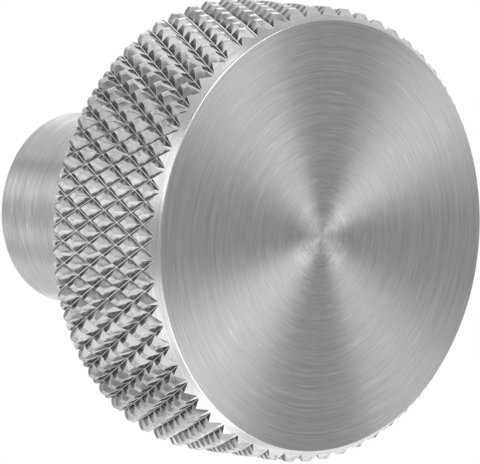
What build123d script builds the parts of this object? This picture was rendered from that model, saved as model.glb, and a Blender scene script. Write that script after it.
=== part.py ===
# Knurled furniture knob, turned from one steel bar: a disc head on a plain round stem.
#
# The knob is modelled as it stands on an upright panel. Its axis lies along Y, the origin is the
# centre of the stem's mounting face, the head points to -Y, and +Z is up. Sizes are in millimetres.

from build123d import *

import os
from math import ceil, cos, pi, radians, sin, tan

# Head
head_diameter = 36.0
head_length = 12.0
front_chamfer_length = 1.2
front_chamfer_height = 1.0
face_edge_chamfer = 0.2
back_chamfer = 0.4

# Stem, from its mounting face to the back of the head
stem_diameter = 15.2
stem_length = 18.0
stem_end_chamfer = 0.25

# Diamond knurl. Two sets of grooves cross, and leave flat-topped diamonds between them.
# The lean is how far the rows of diamonds turn away from the knob's axis.
knurl_count = 62
knurl_angle = 30.3
knurl_lean = 1.5
groove_depth = 0.65
crest_share = 0.34
first_crossing_inset = 0.17
first_crossing_turn = 176.25

# The turned outline of the head stands this far outside the crests,
# so that its chamfers meet them at an angle
outline_clearance = 0.05

# Tapped hole for the fixing screw, bored from the mounting face at the drill size of its thread
tap_drill_diameter = 3.3
hole_depth = 12.0
drill_point_angle = 118.0
hole_mouth_diameter = 4.4
hole_mouth_angle = 90.0

# Worked out from the sizes above
head_radius = head_diameter / 2
outline_radius = head_radius + outline_clearance
root_radius = head_radius - groove_depth
face_radius = head_radius - front_chamfer_height
chamfer_run = front_chamfer_length / front_chamfer_height
head_back_y = -stem_length
face_y = head_back_y - head_length
crossing_step = pi / knurl_count
row_step = head_radius * crossing_step / tan(radians(knurl_angle))
lean_per_mm = tan(radians(knurl_lean)) / head_radius
first_row = -1
last_row = ceil((head_length - first_crossing_inset) / row_step)


def crossing(row, place):
    """Where two grooves cross, at the bottom of both. Row and place add up to an even number."""
    back = first_crossing_inset + row * row_step
    turn = radians(first_crossing_turn) + place * crossing_step + back * lean_per_mm
    return Vector(root_radius * cos(turn), face_y + back, root_radius * sin(turn))


def diamond(row, place):
    """The faces of one diamond: four flanks rising from the grooves, and the flat crest."""
    corners = [
        crossing(row - 1, place),
        crossing(row, place + 1),
        crossing(row + 1, place),
        crossing(row, place - 1),
    ]
    middle = (corners[0] + corners[2]) / 2
    outward = Vector(middle.X, 0, middle.Z).normalized()
    crest_middle = Vector(0, middle.Y, 0) + outward * head_radius

    # A flank's plane holds its groove's bottom line and the middle of the crest's side above it
    flank_normals = []
    for near, far in zip(corners, corners[1:] + corners[:1]):
        across = (near + far) / 2 - crest_middle
        across_crest = across - outward * across.dot(outward)
        crest_side = crest_middle + across_crest * crest_share
        flank_normals.append((far - near).cross(crest_side - near))

    # Two flanks meet in a ridge, which climbs from their crossing to a corner of the crest
    crest = []
    for i, corner in enumerate(corners):
        ridge = flank_normals[i - 1].cross(flank_normals[i])
        climb = (head_radius - corner.dot(outward)) / ridge.dot(outward)
        crest.append(corner + ridge * climb)

    faces = [Face(Wire.make_polygon(crest, close=True))]
    for i in range(len(corners)):
        after = (i + 1) % len(corners)
        flank = [corners[i], corners[after], crest[after], crest[i]]
        faces.append(Face(Wire.make_polygon(flank, close=True)))
    return faces


def end_cap(row, outside):
    """A fan of triangles that closes the knurled band past its last row of diamonds."""
    zigzag = [
        crossing(row + outside * ((row + place) % 2), place) for place in range(2 * knurl_count)
    ]
    apex = Vector(0, crossing(row + 2 * outside, 0).Y, 0)
    return [
        Face(Wire.make_polygon([apex, near, far], close=True))
        for near, far in zip(zigzag, zigzag[1:] + zigzag[:1])
    ]


def knurled_band():
    """A closed body with the knurl all round it, which reaches past both ends of the head."""
    faces = end_cap(first_row, -1) + end_cap(last_row, 1)
    for row in range(first_row, last_row + 1):
        for place in range((row + 1) % 2, 2 * knurl_count, 2):
            faces += diamond(row, place)
    return Solid(Shell(faces))


with BuildPart() as knob:
    # The head's turned outline, with its front chamfer carried on past the crests
    with BuildSketch(Plane.XY):
        with BuildLine():
            Polyline(
                (0, face_y),
                (face_radius, face_y),
                (outline_radius, face_y + (outline_radius - face_radius) * chamfer_run),
                (outline_radius, head_back_y - back_chamfer),
                (outline_radius - back_chamfer, head_back_y),
                (0, head_back_y),
                close=True,
            )
        make_face()
    revolve(axis=Axis.Y)
    chamfer(edges().filter_by(GeomType.CIRCLE).sort_by(Axis.Y)[0], length=face_edge_chamfer)
    add(knurled_band(), mode=Mode.INTERSECT)

    # The stem, with the sharp edge of its end taken off
    with BuildSketch(Plane.XZ):
        Circle(stem_diameter / 2)
    extrude(amount=stem_length)
    chamfer(faces().sort_by(Axis.Y)[-1].edges(), length=stem_end_chamfer)

    # The blind hole for the fixing screw, with its countersunk mouth and drill point
    drill_radius = tap_drill_diameter / 2
    mouth_radius = hole_mouth_diameter / 2
    mouth_depth = (mouth_radius - drill_radius) / tan(radians(hole_mouth_angle / 2))
    point_depth = drill_radius / tan(radians(drill_point_angle / 2))
    with BuildSketch(Plane.XY):
        with BuildLine():
            Polyline(
                (0, 0),
                (mouth_radius, 0),
                (drill_radius, -mouth_depth),
                (drill_radius, -hole_depth),
                (0, -hole_depth - point_depth),
                close=True,
            )
        make_face()
    revolve(axis=Axis.Y, mode=Mode.SUBTRACT)

knob.part.label = "knob"

os.makedirs("parts", exist_ok=True)
export_step(knob.part, "parts/knob.step")
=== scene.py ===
from math import cos, pi, radians, sin, tan

import bmesh
import bpy
import numpy as np
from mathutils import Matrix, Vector


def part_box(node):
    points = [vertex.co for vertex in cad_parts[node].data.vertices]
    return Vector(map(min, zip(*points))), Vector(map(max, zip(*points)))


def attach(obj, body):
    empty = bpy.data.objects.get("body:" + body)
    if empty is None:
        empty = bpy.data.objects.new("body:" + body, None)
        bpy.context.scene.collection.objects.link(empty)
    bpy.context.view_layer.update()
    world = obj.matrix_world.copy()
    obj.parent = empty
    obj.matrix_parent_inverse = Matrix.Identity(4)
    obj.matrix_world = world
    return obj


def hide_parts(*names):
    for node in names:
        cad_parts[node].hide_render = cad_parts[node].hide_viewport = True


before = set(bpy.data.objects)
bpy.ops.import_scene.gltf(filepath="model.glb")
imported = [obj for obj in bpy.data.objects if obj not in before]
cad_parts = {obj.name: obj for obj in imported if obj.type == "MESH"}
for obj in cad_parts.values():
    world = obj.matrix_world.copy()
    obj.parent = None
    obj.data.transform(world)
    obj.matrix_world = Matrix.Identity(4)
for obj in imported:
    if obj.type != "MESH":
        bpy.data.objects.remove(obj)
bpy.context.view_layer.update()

knob_low, knob_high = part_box("knob")

MM = 0.001

# The knob's axis lies along Y: its face looks to -Y and the end of its stem is at y = 0
HEAD_RADIUS = 18.0 * MM
HEAD_LENGTH = 12.0 * MM
FACE_Y = knob_low.y
BACK_Y = FACE_Y + HEAD_LENGTH
STEM_RADIUS = 7.6 * MM
STEM_END_Y = knob_high.y
STEM_CHAMFER = 0.25 * MM
FRONT_CHAMFER_LENGTH = 1.2 * MM
FRONT_CHAMFER_HEIGHT = 1.0 * MM
BACK_CHAMFER = 0.4 * MM
FACE_EDGE_ROUND = 0.1 * MM
BACK_EDGE_ROUND = 0.15 * MM
NECK_ROUND = 0.2 * MM
STEM_EDGE_ROUND = 0.1 * MM

# The turned outline clears the crests of the knurl by this much, so that its chamfers meet them
# at an angle
OUTLINE_CLEARANCE = 0.05 * MM

# Rings of points on the face, inside its rim
FACE_RINGS = (1.5 * MM, 6.0 * MM, 12.0 * MM)

# Tapped hole: an M4 thread with its countersunk mouth and drill point
HOLE_RADIUS = 1.65 * MM
THREAD_RADIUS = 2.0 * MM
THREAD_PITCH = 0.7 * MM
HOLE_DEPTH = 12.0 * MM
MOUTH_RADIUS = 2.2 * MM
DRILL_POINT_SLOPE = tan(radians(59.0))
THREAD_END_GAP = 1.5 * MM
THREAD_STEPS_PER_TURN = 8

# The thread's groove, in thread depths: how deep its flanks would meet, and how far one falls in
# a pitch
THREAD_FLANKS_MEET = 1.25
THREAD_FLANK_FALL = 3.0

# Diamond knurl, as in the solid
KNURL_COUNT = 62
KNURL_ANGLE = radians(30.3)
KNURL_LEAN = radians(1.5)
GROOVE_DEPTH = 0.65 * MM
FIRST_CROSSING_INSET = 0.17 * MM
FIRST_CROSSING_TURN = radians(176.25)
CROSSING_STEP = pi / KNURL_COUNT
ROW_STEP = HEAD_RADIUS * CROSSING_STEP / tan(KNURL_ANGLE)
LEAN_PER_METRE = tan(KNURL_LEAN) / HEAD_RADIUS

# One diamond, as shares of the step from one groove's middle to the next: half the groove's floor,
# where the crest begins, and how far its edges and its ridges are rounded
FLOOR_SHARE = 0.017
CREST_START = 0.33
EDGE_SHARE = 0.02
RIDGE_SHARE = 0.02

# How far the middle of a rounded edge, and of a rounded ridge, lies inside the sharp corner that it
# takes off, as a share of the rounding
EDGE_MIDDLE = 0.2
RIDGE_MIDDLE = 0.3

# Points on each side of a diamond, and in a ring of its four sides
SIDE_POINTS = 4
RING_POINTS = 4 * SIDE_POINTS

# How far the crests and their edges stray from their places: a standard deviation
BURR = 0.008 * MM
BURR_SEED = 7

# The knurled bar reaches this far past the face and the end of the stem
BAR_AHEAD = 3 * MM
BAR_BEHIND = 30 * MM

# Points nearer than this are made one, and edges that turn by more than this are sharp
WELD_DISTANCE = 0.001 * MM
SHARP_ANGLE = radians(35.0)

# Segments round the axis: the hole has one for each six of the outside
ROUND_SEGMENTS = 372
HOLE_SEGMENTS = 62

# Brush marks: how many to the metre across them and to the radian along them, then the detail and
# the roughness of their noise
LINES = (12000.0, 5.0, 3.0, 0.7)
STREAKS = (6500.0, 1.6, 3.0, 0.6)
SCRATCHES = (12000.0, 4.0, 1.0, 0.5)

# Marks of the knurling wheel: how many to the metre, then the detail and roughness of their noise
CLOUDS = (1500.0, 3.0, 0.6)
PITS = (5200.0, 2.0, 0.6)

# The stretch of each pattern that shows, and what the finish is multiplied by at its two ends
BRUSHED_STRETCH = (0.75, 1.25)
BRUSHED_SHADES = (0.82, 1.16)
BRUSHED_ROUGHNESS = (1.15, 0.85)
SCRATCH_STRETCH = (0.62, 0.74)
SCRATCH_SHADES = (1.0, 1.3)
CLOUD_STRETCH = (0.3, 0.7)
CLOUD_SHADES = (0.88, 1.12)
CLOUD_ROUGHNESS = (0.8, 1.2)
PIT_STRETCH = (0.30, 0.40)

# The same for the middle of a turned face, by the distance from the axis
MIDDLE_STRETCH = (1.2 * MM, 3.2 * MM)
MIDDLE_ROUGHNESS = (2.4, 1.0)

# How strong each bump is, and how deep
LINE_BUMP = (0.3, 0.012 * MM)
PIT_BUMP = (0.3, 0.02 * MM)

# Camera, fitted to the photograph: it looks at AIM from these angles and this distance, and is then
# shifted sideways and upwards without a turn. The focal length is in pixels of the photograph.
CAMERA_AZIMUTH = radians(-41.995)
CAMERA_ELEVATION = radians(5.992)
CAMERA_DISTANCE = 0.9
CAMERA_FOCAL_PIXELS = 11376.0
CAMERA_ASIDE = -1.1013 * MM
CAMERA_ABOVE = -0.3178 * MM
CLIP_NEAR = 0.01
CLIP_FAR = 10.0
AIM = Vector((0, -22.0 * MM, 0))
PHOTO_WIDTH = 480
SENSOR_WIDTH = 36.0

# Studio. Each softbox has its azimuth and elevation in degrees as seen from the knob, its width and
# height in metres, and how bright it looks beside a white of 1.
LAMP_DISTANCE = 0.55
SOFTBOXES = [
    ("upper_box", 12, 33, 0.38, 0.36, 2.65),
    ("lower_box", 3, -36, 0.42, 0.38, 2.65),
    ("left_upper_box", -97, 25, 0.40, 0.28, 1.15),
    ("left_lower_box", -97, -36, 0.40, 0.42, 0.72),
    ("back_left_box", -142, -2, 0.34, 0.50, 0.48),
    ("front_upper_box", -56, 26, 0.22, 0.28, 0.95),
    ("front_lower_box", -56, -32, 0.22, 0.28, 0.8),
    ("back_right_upper_box", 128, 50, 0.40, 0.50, 0.8),
    ("back_right_lower_box", 128, -50, 0.40, 0.50, 0.6),
    ("top_box", -105, 75, 0.50, 0.50, 0.7),
    ("bottom_box", -115, -75, 0.50, 0.50, 0.85),
]

# The room is white within the inner angle of the backdrop's middle, and grey beyond the outer one
ROOM_GREY = 0.43
BACKDROP_AZIMUTH = 155
BACKDROP_INNER = radians(28)
BACKDROP_OUTER = radians(65)

FLOOR_Z = -0.6
FLOOR_RADIUS = 1.2
FLOOR_SEGMENTS = 96
FLOOR_COLOUR = (0.8, 0.8, 0.8, 1)
FLOOR_ROUGHNESS = 0.9

# Places of the finishes in the knob's list of materials
FACE, EDGE, STEM, FLAT, HOLE, CREST, FLANK, RIDGE, GROOVE = range(9)


def ring(radius, y, segments=ROUND_SEGMENTS):
    """One ring of points round the axis. Radius may be an array, one value for each point."""
    turn = np.arange(segments) * (2 * pi / segments)
    radii = np.broadcast_to(radius, turn.shape)
    return np.stack([radii * np.cos(turn), np.full_like(turn, y), radii * np.sin(turn)], 1)


def rounded_corner(before, corner, after, steps=6):
    """The points of an arc that rounds a corner of the outline, or the corner if it is sharp."""
    here = Vector(corner[:2])
    rounding = corner[2]
    if not rounding:
        return [here]
    to_before = (Vector(before[:2]) - here).normalized()
    to_after = (Vector(after[:2]) - here).normalized()
    half = to_before.angle(to_after) / 2
    reach = rounding / tan(half)
    middle = here + (to_before + to_after).normalized() * rounding / sin(half)
    start, end = here + to_before * reach - middle, here + to_after * reach - middle
    spokes = [start.lerp(end, step / steps).normalized() for step in range(steps + 1)]
    return [middle + spoke * rounding for spoke in spokes]


class MeshParts:
    """Vertices and faces of a mesh in the making, with a material for each face."""

    def __init__(self):
        self.points, self.faces, self.materials = [], [], []
        self.count = 0

    def add_points(self, points):
        """Adds points, and gives the numbers that faces name them by."""
        start = self.count
        self.points.append(np.asarray(points, float))
        self.count += len(points)
        return np.arange(start, self.count)

    def add_faces(self, faces, material):
        self.faces += [tuple(int(corner) for corner in face) for face in faces]
        self.materials += [material] * len(faces)

    def bridge(self, first, second, material):
        """Quads between two rings of the same count, or polygons where the first has more."""
        ratio = len(first) // len(second)
        faces = []
        for i in range(len(second)):
            fine = [first[(i * ratio + j) % len(first)] for j in range(ratio + 1)]
            faces.append(fine + [second[(i + 1) % len(second)], second[i]])
        self.add_faces(faces, material)

    def widen(self, first, second, material):
        """The same, for a second ring that has more."""
        ratio = len(second) // len(first)
        faces = []
        for i in range(len(first)):
            fine = [second[(i * ratio + j) % len(second)] for j in range(ratio, -1, -1)]
            faces.append([first[i], first[(i + 1) % len(first)]] + fine)
        self.add_faces(faces, material)

    def close(self, rim, apex, material):
        """A fan from a ring to a point on the axis."""
        tip = self.add_points([apex])[0]
        self.add_faces([(tip, a, b) for a, b in zip(rim, np.roll(rim, -1))], material)

    def build(self, name, materials, tips=()):
        """The mesh as an object. Where two tips are given, open rims are closed with fans to them:
        the first tip lies in front of the middle of the head, and the second behind it."""
        mesh = bpy.data.meshes.new(name)
        mesh.from_pydata(np.concatenate(self.points).tolist(), [], self.faces)
        for material in materials:
            mesh.materials.append(material)
        mesh.polygons.foreach_set("material_index", self.materials)
        work = bmesh.new()
        work.from_mesh(mesh)
        if tips:
            work.verts.ensure_lookup_table()
            front, behind = [work.verts[tip] for tip in tips]
            bmesh.ops.remove_doubles(work, verts=work.verts, dist=WELD_DISTANCE)
            halfway = (FACE_Y + BACK_Y) / 2
            for edge in [edge for edge in work.edges if edge.is_boundary]:
                tip = front if edge.verts[0].co.y < halfway else behind
                work.faces.new((edge.verts[0], edge.verts[1], tip)).material_index = FLANK
        bmesh.ops.recalc_face_normals(work, faces=work.faces)
        work.to_mesh(mesh)
        work.free()
        piece = bpy.data.objects.new(name, mesh)
        bpy.context.scene.collection.objects.link(piece)
        return piece


def face_rings(parts):
    """The face, from its middle outwards. Gives its last ring."""
    inner_radius, middle_radius, outer_radius = FACE_RINGS
    inner = parts.add_points(ring(inner_radius, FACE_Y, HOLE_SEGMENTS))
    parts.close(inner, (0, FACE_Y, 0), FACE)
    middle = parts.add_points(ring(middle_radius, FACE_Y, HOLE_SEGMENTS))
    parts.widen(inner, middle, FACE)
    outer = parts.add_points(ring(outer_radius, FACE_Y))
    parts.widen(middle, outer, FACE)
    return outer


def turned_outline(parts, last):
    """The outline from the face's last ring back to the end of the stem. Each corner has its
    distance from the axis, its y, the radius that it is rounded to, and the material of the stretch
    that leads to it. Gives the last ring."""
    clear = OUTLINE_CLEARANCE
    slope = FRONT_CHAMFER_HEIGHT / FRONT_CHAMFER_LENGTH
    corners = [
        (FACE_RINGS[-1], FACE_Y, 0, FACE),
        (HEAD_RADIUS - FRONT_CHAMFER_HEIGHT, FACE_Y, FACE_EDGE_ROUND, FACE),
        (HEAD_RADIUS + clear, FACE_Y + FRONT_CHAMFER_LENGTH + clear / slope, 0, EDGE),
        (HEAD_RADIUS + clear, BACK_Y - BACK_CHAMFER - clear, 0, EDGE),
        (HEAD_RADIUS - BACK_CHAMFER, BACK_Y, BACK_EDGE_ROUND, EDGE),
        (STEM_RADIUS, BACK_Y, NECK_ROUND, FLAT),
        (STEM_RADIUS, STEM_END_Y - STEM_CHAMFER, STEM_EDGE_ROUND, STEM),
        (STEM_RADIUS - STEM_CHAMFER, STEM_END_Y, STEM_EDGE_ROUND, EDGE),
        (MOUTH_RADIUS, STEM_END_Y, 0, FLAT),
    ]
    for before, corner, after in zip(corners, corners[1:], corners[2:]):
        for step, (radius, y) in enumerate(rounded_corner(before, corner, after)):
            here = parts.add_points(ring(radius, y))
            parts.bridge(last, here, corner[3] if step == 0 else EDGE)
            last = here
    return last


def tapped_hole(parts, last):
    """The end face of the stem, and in it the hole's mouth, its thread and its drill point."""
    here = parts.add_points(ring(MOUTH_RADIUS, STEM_END_Y, HOLE_SEGMENTS))
    parts.bridge(last, here, FLAT)
    last = here
    turn = np.arange(HOLE_SEGMENTS) / HOLE_SEGMENTS
    mouth_depth = MOUTH_RADIUS - HOLE_RADIUS
    thread_length = HOLE_DEPTH - mouth_depth - THREAD_END_GAP
    thread_steps = int(thread_length / THREAD_PITCH * THREAD_STEPS_PER_TURN)
    for step in range(thread_steps):
        depth = mouth_depth + step * THREAD_PITCH / THREAD_STEPS_PER_TURN
        phase = (depth / THREAD_PITCH + turn) % 1.0
        cut = np.clip(THREAD_FLANKS_MEET - np.abs(phase - 0.5) * THREAD_FLANK_FALL, 0, 1)
        runout = min(1.0, (thread_steps - 1 - step) / THREAD_STEPS_PER_TURN)
        radius = HOLE_RADIUS + (THREAD_RADIUS - HOLE_RADIUS) * cut * runout
        here = parts.add_points(ring(radius, STEM_END_Y - depth, HOLE_SEGMENTS))
        parts.bridge(last, here, HOLE)
        last = here
    here = parts.add_points(ring(HOLE_RADIUS, STEM_END_Y - HOLE_DEPTH, HOLE_SEGMENTS))
    parts.bridge(last, here, HOLE)
    point_y = STEM_END_Y - HOLE_DEPTH - HOLE_RADIUS / DRILL_POINT_SLOPE
    parts.close(here, (0, point_y, 0), HOLE)


def turned_knob(materials):
    """The whole knob as it leaves the lathe, before knurling: a closed mesh."""
    parts = MeshParts()
    tapped_hole(parts, turned_outline(parts, face_rings(parts)))
    return parts.build("turned_knob", materials)


def diamond_template():
    """One diamond of the knurl in shares (u, v) of the steps between its grooves, with the depth
    of each point and the faces. Rings of points lie one inside the other, from the grooves up to
    the crest, with the corners cut where two flanks meet in a rounded ridge. The outermost ring is
    shared with the diamonds around it."""
    flank_width = CREST_START - FLOOR_SHARE
    edge_middle = EDGE_MIDDLE * EDGE_SHARE
    rings = [
        (0, 0, 1),
        (FLOOR_SHARE, RIDGE_MIDDLE, 1),
        (CREST_START - EDGE_SHARE, RIDGE_MIDDLE, EDGE_SHARE / flank_width),
        (CREST_START + edge_middle, RIDGE_MIDDLE, edge_middle / flank_width),
        (CREST_START + EDGE_SHARE, RIDGE_MIDDLE, 0),
    ]
    points, depths, faces, materials = [], [], [], []
    for inset, corner_cut, depth in rings:
        far, cut = 1 - inset, inset + corner_cut * RIDGE_SHARE
        for start, end in ((inset, far), (far, inset)):
            inwards = 1 if end > start else -1
            corner = start + inwards * (cut - inset)
            side = [corner, start + inwards * RIDGE_SHARE, 0.5, end - inwards * RIDGE_SHARE]
            across = [corner] + [start] * (SIDE_POINTS - 1)
            points += list(zip(side, across)) + list(zip([1 - place for place in across], side))
        depths += [depth] * RING_POINTS
    # The groove's floor, the flanks with a rounded strip at each end, and the crest's edges
    strips = (0, SIDE_POINTS - 1)
    for band, material in enumerate((GROOVE, FLANK, RIDGE, RIDGE)):
        low, high = RING_POINTS * band, RING_POINTS * (band + 1)
        for i in range(RING_POINTS):
            after = (i + 1) % RING_POINTS
            faces.append((low + i, low + after, high + after, high + i))
            in_strip = material == FLANK and i % SIDE_POINTS in strips
            materials.append(RIDGE if in_strip else material)
    middle = len(points)
    points.append((0.5, 0.5))
    depths.append(0)
    crest = middle - RING_POINTS
    faces += [(crest + i, crest + (i + 1) % RING_POINTS, middle) for i in range(RING_POINTS)]
    return np.array(points), np.array(depths), faces, materials + [CREST] * RING_POINTS


def knurled_bar(materials):
    """A closed body with the knurl round it, which holds the rest of the knob inside."""
    template, depths, template_faces, template_materials = diamond_template()
    rows = range(-1, int(HEAD_LENGTH / ROW_STEP) + 2)
    place, row = np.meshgrid(np.arange(KNURL_COUNT), rows, indexing="ij")
    first = place[..., None] + template[:, 0]
    second = (place + row)[..., None] + template[:, 1]
    back = FIRST_CROSSING_INSET + (second - first) * ROW_STEP
    turn = FIRST_CROSSING_TURN + (first + second) * CROSSING_STEP + back * LEAN_PER_METRE
    draws = np.random.default_rng(BURR_SEED).normal(0, 1, (2,) + back.shape)
    stray = draws * BURR * (depths < 1)
    radius = HEAD_RADIUS - GROOVE_DEPTH * depths - np.abs(stray[0])
    turn = turn + stray[1] / HEAD_RADIUS
    points = np.stack([radius * np.cos(turn), FACE_Y + back, radius * np.sin(turn)], -1)

    parts = MeshParts()
    grid = parts.add_points(points.reshape(-1, 3)).reshape(-1, len(template))
    for diamond in grid:
        for face, material in zip(template_faces, template_materials):
            parts.add_faces([[diamond[i] for i in face]], material)

    # Fans close both ends: in front of the face, and behind the stem
    tips = [(0, FACE_Y - BAR_AHEAD, 0), (0, STEM_END_Y + BAR_BEHIND, 0)]
    return parts.build("knurled_bar", materials, parts.add_points(tips).tolist())


class Finish:
    """A steel with its nodes: colour, roughness and bump come from patterns laid on the object."""

    def __init__(self, name, colour, roughness, anisotropic=0.0):
        self.material = bpy.data.materials.new(name)
        self.material.use_nodes = True
        self.nodes = self.material.node_tree.nodes
        self.links = self.material.node_tree.links
        self.shader = self.nodes["Principled BSDF"]
        self.shader.inputs["Base Color"].default_value = (colour, colour, colour, 1)
        self.shader.inputs["Metallic"].default_value = 1.0
        self.shader.inputs["Roughness"].default_value = roughness
        self.shader.inputs["Anisotropic"].default_value = anisotropic
        # Brush lines run round the axis, and gloss spreads across them: a quarter turn from the
        # tangent
        if anisotropic:
            self.shader.inputs["Anisotropic Rotation"].default_value = 0.25
            tangent = self.add("ShaderNodeTangent", direction_type="RADIAL", axis="Y")
            self.link(tangent.outputs[0], self.shader.inputs["Tangent"])

    def add(self, kind, **settings):
        node = self.nodes.new(kind)
        for setting, value in settings.items():
            setattr(node, setting, value)
        return node

    def link(self, output, target):
        self.links.new(output, target)

    def math(self, operation, first, second=0.0):
        """The result of an operation on values that are numbers or other nodes' outputs."""
        node = self.add("ShaderNodeMath", operation=operation)
        for place, value in enumerate((first, second)):
            if isinstance(value, (int, float)):
                node.inputs[place].default_value = value
            else:
                self.link(value, node.inputs[place])
        return node.outputs[0]

    def place(self):
        """Where the point lies on the object."""
        return self.add("ShaderNodeTexCoord").outputs["Object"]

    def place_on_axis(self):
        """The point's x, y and z, and how far it lies from the axis."""
        split = self.add("ShaderNodeSeparateXYZ")
        self.link(self.place(), split.inputs[0])
        x, y, z = split.outputs
        squares = self.math("ADD", self.math("MULTIPLY", x, x), self.math("MULTIPLY", z, z))
        return x, y, z, self.math("SQRT", squares)

    def round_the_axis(self, fine, coarse, on_face):
        """Coordinates for lines that run round the axis: fine across them, coarse along them."""
        x, y, z, radius = self.place_on_axis()
        joined = self.add("ShaderNodeCombineXYZ")
        self.link(self.math("MULTIPLY", radius if on_face else y, fine), joined.inputs[0])
        for side, target in ((x, joined.inputs[1]), (z, joined.inputs[2])):
            self.link(self.math("MULTIPLY", self.math("DIVIDE", side, radius), coarse), target)
        return joined.outputs[0]

    def noise(self, vector, scale, detail, roughness):
        node = self.add("ShaderNodeTexNoise")
        node.inputs["Scale"].default_value = scale
        node.inputs["Detail"].default_value = detail
        node.inputs["Roughness"].default_value = roughness
        self.link(vector, node.inputs["Vector"])
        return node.outputs["Fac"]

    def marks(self, kind, on_face):
        """A pattern of marks that run round the axis."""
        fine, coarse, detail, roughness = kind
        return self.noise(self.round_the_axis(fine, coarse, on_face), 1.0, detail, roughness)

    def spread(self, pattern, stretch, ends):
        """Values that run from one end to the other while the pattern goes through a stretch."""
        node = self.add("ShaderNodeMapRange")
        slots = ("From Min", "From Max", "To Min", "To Max")
        for slot, number in zip(slots, (*stretch, *ends)):
            node.inputs[slot].default_value = number
        self.link(pattern, node.inputs["Value"])
        return node.outputs["Result"]

    def vary(self, pattern, stretch, value, shares):
        """A value of the finish, multiplied by shares of itself as the pattern goes."""
        return self.spread(pattern, stretch, [value * share for share in shares])

    def set_colour(self, shade):
        grey = self.add("ShaderNodeCombineColor")
        for channel in grey.inputs:
            self.link(shade, channel)
        self.link(grey.outputs[0], self.shader.inputs["Base Color"])

    def set_roughness(self, value):
        self.link(value, self.shader.inputs["Roughness"])

    def set_bump(self, height, strength, distance):
        node = self.add("ShaderNodeBump")
        node.inputs["Strength"].default_value = strength
        node.inputs["Distance"].default_value = distance
        self.link(height, node.inputs["Height"])
        self.link(node.outputs[0], self.shader.inputs["Normal"])


def brushed_steel(name, colour, roughness, anisotropic, on_face=False):
    """Steel with fine lines round the axis, left by the lathe and an abrasive belt."""
    steel = Finish(name, colour, roughness, anisotropic)
    lines = steel.marks(LINES, on_face)
    streaks = steel.marks(STREAKS, on_face)
    scratches = steel.marks(SCRATCHES, on_face)
    both = steel.math("ADD", lines, streaks)
    shade = steel.vary(both, BRUSHED_STRETCH, colour, BRUSHED_SHADES)
    bright = steel.spread(scratches, SCRATCH_STRETCH, SCRATCH_SHADES)
    steel.set_colour(steel.math("MULTIPLY", shade, bright))
    rough = steel.vary(both, BRUSHED_STRETCH, roughness, BRUSHED_ROUGHNESS)
    if on_face:
        # Towards its middle a face turned too slowly under the belt to be brushed as evenly
        from_axis = steel.place_on_axis()[-1]
        middle = steel.spread(from_axis, MIDDLE_STRETCH, MIDDLE_ROUGHNESS)
        rough = steel.math("MULTIPLY", rough, middle)
    steel.set_roughness(rough)
    steel.set_bump(lines, *LINE_BUMP)
    return steel.material


def knurl_steel(name, colour, roughness, pit_shade, slant_shade_tint=1.0):
    """Steel as the knurling wheel leaves it, with small dark pits. The tint is how much of its
    gloss is left
    where it is seen at a slant: below 1 it is painted shade."""
    steel = Finish(name, colour, roughness)
    # A tint below 1 is painted shade: it dims the gloss of faces seen at a slant, as the shade in
    # the grooves would
    steel.shader.inputs["Specular Tint"].default_value = (slant_shade_tint, slant_shade_tint, slant_shade_tint, 1)
    clouds = steel.noise(steel.place(), *CLOUDS)
    pits = steel.noise(steel.place(), *PITS)
    shade = steel.vary(clouds, CLOUD_STRETCH, colour, CLOUD_SHADES)
    dark = steel.spread(pits, PIT_STRETCH, (pit_shade, 1.0))
    steel.set_colour(steel.math("MULTIPLY", shade, dark))
    steel.set_roughness(steel.vary(clouds, CLOUD_STRETCH, roughness, CLOUD_ROUGHNESS))
    steel.set_bump(pits, *PIT_BUMP)
    return steel.material


def knob_materials():
    """The finishes, in the order of their places."""
    return [
        brushed_steel("face_steel", colour=0.57, roughness=0.36, anisotropic=0.92, on_face=True),
        brushed_steel("edge_steel", colour=0.72, roughness=0.26, anisotropic=0.5),
        brushed_steel("stem_steel", colour=0.58, roughness=0.38, anisotropic=0.9),
        brushed_steel("flat_steel", colour=0.56, roughness=0.4, anisotropic=0.85, on_face=True),
        brushed_steel("hole_steel", colour=0.45, roughness=0.45, anisotropic=0.3),
        knurl_steel("crest_steel", colour=0.74, roughness=0.34, pit_shade=0.5),
        # The flanks' dark colour and slant tint are painted shade, standing in for the shade that
        # falls between the diamonds
        knurl_steel("flank_steel_painted_shade", colour=0.46, roughness=0.22, pit_shade=0.8, slant_shade_tint=0.32),
        knurl_steel("ridge_steel", colour=0.55, roughness=0.35, pit_shade=0.8),
        # The groove floor's pale colour is a painted highlight: it stands in for the light that a
        # rounded floor would catch
        knurl_steel("groove_steel_painted_highlight", colour=0.9, roughness=0.25, pit_shade=0.8),
    ]


def apply_modifiers(piece):
    """Gives the piece the mesh that its modifiers make, and takes the modifiers off."""
    graph = bpy.context.evaluated_depsgraph_get()
    mesh = bpy.data.meshes.new_from_object(piece.evaluated_get(graph))
    piece.modifiers.clear()
    piece.data = mesh


def make_knob():
    """The knob: the turned form, cut by the knurled bar."""
    materials = knob_materials()
    knob = turned_knob(materials)
    bar = knurled_bar(materials)
    cut = knob.modifiers.new("knurl", "BOOLEAN")
    cut.operation = "INTERSECT"
    cut.solver = "MANIFOLD"
    cut.object = bar
    apply_modifiers(knob)
    bpy.data.objects.remove(bar)
    knob.data.shade_smooth()
    knob.data.set_sharp_from_angle(angle=SHARP_ANGLE)
    # Normals that follow the larger faces keep the flats flat, with the roundness in their edges
    even = knob.modifiers.new("even", "WEIGHTED_NORMAL")
    even.keep_sharp = True
    apply_modifiers(knob)
    knob.name = "knurled_knob"
    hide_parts("knob")
    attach(knob, "root")


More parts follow.
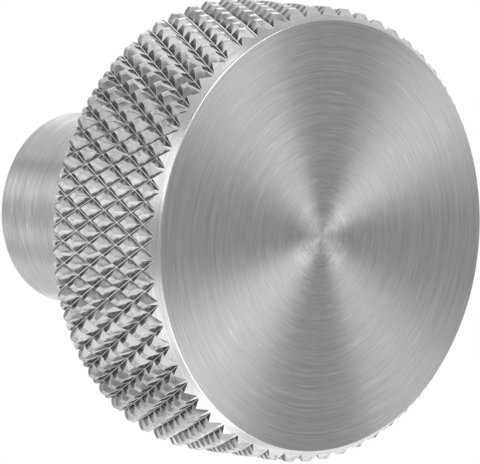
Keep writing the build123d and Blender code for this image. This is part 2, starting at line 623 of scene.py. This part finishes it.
def make_camera():
    """The camera at the photograph's angle, with its frame."""
    back = Vector((
        sin(CAMERA_AZIMUTH) * cos(CAMERA_ELEVATION),
        -cos(CAMERA_AZIMUTH) * cos(CAMERA_ELEVATION),
        sin(CAMERA_ELEVATION),
    ))
    right = Vector((cos(CAMERA_AZIMUTH), sin(CAMERA_AZIMUTH), 0))
    up = back.cross(right)
    data = bpy.data.cameras.new("camera")
    data.sensor_width = SENSOR_WIDTH
    data.lens = CAMERA_FOCAL_PIXELS * SENSOR_WIDTH / PHOTO_WIDTH
    data.clip_start, data.clip_end = CLIP_NEAR, CLIP_FAR
    camera = bpy.data.objects.new("camera", data)
    camera.location = AIM + back * CAMERA_DISTANCE + right * CAMERA_ASIDE + up * CAMERA_ABOVE
    camera.rotation_mode = "QUATERNION"
    camera.rotation_quaternion = (-back).to_track_quat("-Z", "Y")
    bpy.context.scene.collection.objects.link(camera)
    bpy.context.scene.camera = camera


def direction(azimuth, elevation):
    """A unit vector: azimuth 0 is in front of the face, 90 to its right, seen from the front."""
    a, e = radians(azimuth), radians(elevation)
    return Vector((sin(a) * cos(e), -cos(a) * cos(e), sin(e)))


def softbox(name, azimuth, elevation, width, height, radiance):
    """A rectangular lamp that faces the head, given by where it stands and how bright it looks."""
    data = bpy.data.lights.new(name, "AREA")
    data.shape = "RECTANGLE"
    data.size, data.size_y = width, height
    data.energy = radiance * pi * width * height
    lamp = bpy.data.objects.new(name, data)
    toward = direction(azimuth, elevation)
    lamp.location = AIM + toward * LAMP_DISTANCE
    lamp.rotation_mode = "QUATERNION"
    lamp.rotation_quaternion = toward.to_track_quat("Z", "Y")
    lamp.visible_camera = False
    bpy.context.scene.collection.objects.link(lamp)


def make_world():
    """The room: white where the camera looks past the knob, and a plain grey elsewhere."""
    world = bpy.data.worlds.new("studio")
    world.use_nodes = True
    bpy.context.scene.world = world
    nodes, links = world.node_tree.nodes, world.node_tree.links
    place = nodes.new("ShaderNodeTexCoord")
    along = nodes.new("ShaderNodeVectorMath")
    along.operation = "DOT_PRODUCT"
    along.inputs[1].default_value = direction(BACKDROP_AZIMUTH, 0)
    links.new(place.outputs["Generated"], along.inputs[0])
    blend = nodes.new("ShaderNodeMapRange")
    blend.interpolation_type = "SMOOTHSTEP"
    blend.inputs["From Min"].default_value = cos(BACKDROP_OUTER)
    blend.inputs["From Max"].default_value = cos(BACKDROP_INNER)
    blend.inputs["To Min"].default_value = ROOM_GREY
    blend.inputs["To Max"].default_value = 1.0
    links.new(along.outputs["Value"], blend.inputs["Value"])
    background = nodes["Background"]
    background.inputs["Color"].default_value = (1, 1, 1, 1)
    links.new(blend.outputs["Result"], background.inputs["Strength"])


def make_floor():
    """A plain pale disc, well below the knob."""
    mesh = bpy.data.meshes.new("floor")
    work = bmesh.new()
    bmesh.ops.create_circle(work, cap_ends=True, segments=FLOOR_SEGMENTS, radius=FLOOR_RADIUS)
    work.to_mesh(mesh)
    work.free()
    floor = bpy.data.objects.new("floor", mesh)
    floor.location = (0, AIM.y, FLOOR_Z)
    material = bpy.data.materials.new("floor_paper")
    material.use_nodes = True
    shader = material.node_tree.nodes["Principled BSDF"]
    shader.inputs["Base Color"].default_value = FLOOR_COLOUR
    shader.inputs["Roughness"].default_value = FLOOR_ROUGHNESS
    mesh.materials.append(material)
    bpy.context.scene.collection.objects.link(floor)


bpy.context.scene.view_settings.view_transform = "Standard"
make_knob()
make_floor()
for softbox_settings in SOFTBOXES:
    softbox(*softbox_settings)
make_world()
make_camera()
